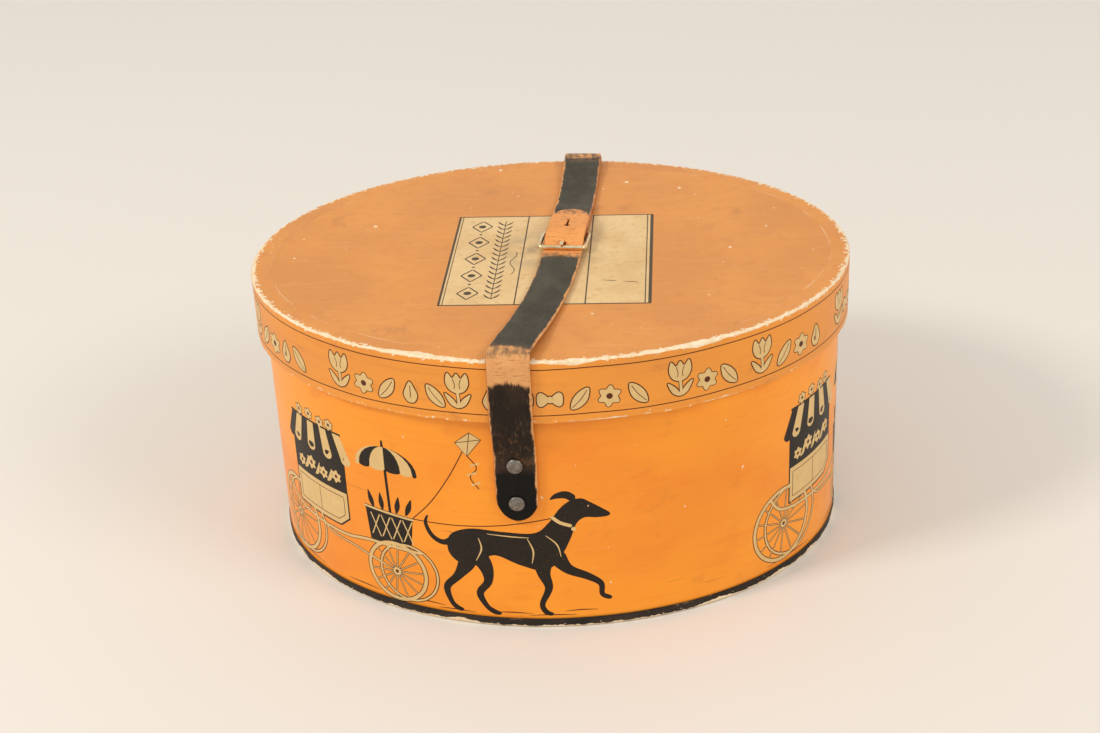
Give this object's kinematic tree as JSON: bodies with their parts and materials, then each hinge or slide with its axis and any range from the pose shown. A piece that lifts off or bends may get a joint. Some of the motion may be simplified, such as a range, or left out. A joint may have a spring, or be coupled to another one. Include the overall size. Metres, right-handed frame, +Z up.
{
  "type": "hat box",
  "caption": "Oval paper-covered board box with a lift-off lid, closed by a buckled leather strap that is riveted to the front and back walls.",
  "frame": {"origin": "centre of the box's footprint, on the surface it stands on", "axes": "+X along the length of the oval, -Y towards the front where the strap's plain end is riveted, +Z up through the lid"},
  "size_m": [0.343, 0.2883, 0.1769],
  "materials": {
    "board": "raw grey board",
    "printed_paper": "orange printed paper, lightly varnished, edges chipped",
    "top_paper": "faded orange paper, scuffed",
    "plain_paper": "plain cream lining paper",
    "edge_tape": "black binding tape, worn through at the edge",
    "strap_leather": "black dyed leather worn to tan at the edges",
    "worn_leather": "tan leather with the dye worn off",
    "rivet_steel": "dull domed steel",
    "buckle_brass": "polished, tarnished in the corners"
  },
  "bodies": {
    "base": {"base_bottom_paper": "plain_paper", "base_floor_board": "board", "base_floor_liner": "plain_paper", "base_wall_board": "board", "base_wall_paper": "printed_paper", "base_wall_liner": "plain_paper", "base_edge_tape": "edge_tape", "front_strap_foot": "strap_leather", "rear_strap_foot": "strap_leather", "front_lower_rivet": "rivet_steel", "front_upper_rivet": "rivet_steel", "rear_lower_rivet": "rivet_steel", "rear_upper_rivet": "rivet_steel", "front_lower_burr": "rivet_steel", "front_upper_burr": "rivet_steel", "rear_lower_burr": "rivet_steel", "rear_upper_burr": "rivet_steel"},
    "lid": {"lid_top_board": "board", "lid_top_paper": "top_paper", "lid_top_liner": "plain_paper", "lid_band_board": "board", "lid_band_paper": "printed_paper", "lid_band_liner": "plain_paper"},
    "front_strap": {"front_strap": "strap_leather", "front_strap_billet": "worn_leather"},
    "rear_strap": {"rear_strap": "strap_leather"},
    "buckle_frame": {"buckle_frame": "buckle_brass"},
    "buckle_tongue": {"buckle_tongue": "buckle_brass"}
  },
  "joints": [
    {"name": "lid_lift", "type": "slide", "parent": "base", "child": "lid", "axis": [0, 0, 1], "range_m": [0, 0.046]},
    {"name": "front_strap_swing", "type": "hinge", "parent": "base", "child": "front_strap", "pos_m": [-0.01755, -0.14307, 0.111], "axis": [0.9966, -0.083, 0], "range_deg": [0, 136], "deforming": ["front_strap_billet"]},
    {"name": "rear_strap_swing", "type": "hinge", "parent": "base", "child": "rear_strap", "pos_m": [0.01887, 0.14296, 0.111], "axis": [-0.996, 0.0892, 0], "range_deg": [0, 156]},
    {"name": "buckle_frame_turn", "type": "hinge", "parent": "rear_strap", "child": "buckle_frame", "pos_m": [0.01, 0.014, 0.1709], "axis": [-0.994, 0.1097, 0], "range_deg": [0, 80.5]},
    {"name": "buckle_tongue_turn", "type": "hinge", "parent": "buckle_frame", "child": "buckle_tongue", "pos_m": [0.01, 0.014, 0.1709], "axis": [-0.994, 0.1097, 0], "range_deg": [0, 50.5]}
  ],
  "couplings": [
    {"joint": "front_strap_swing", "follows": "lid_lift", "rad_per_m": 51.28},
    {"joint": "rear_strap_swing", "follows": "lid_lift", "rad_per_m": 58.82},
    {"joint": "buckle_frame_turn", "follows": "lid_lift", "rad_per_m": 30.35},
    {"joint": "buckle_tongue_turn", "follows": "lid_lift", "rad_per_m": 18.97}
  ]
}
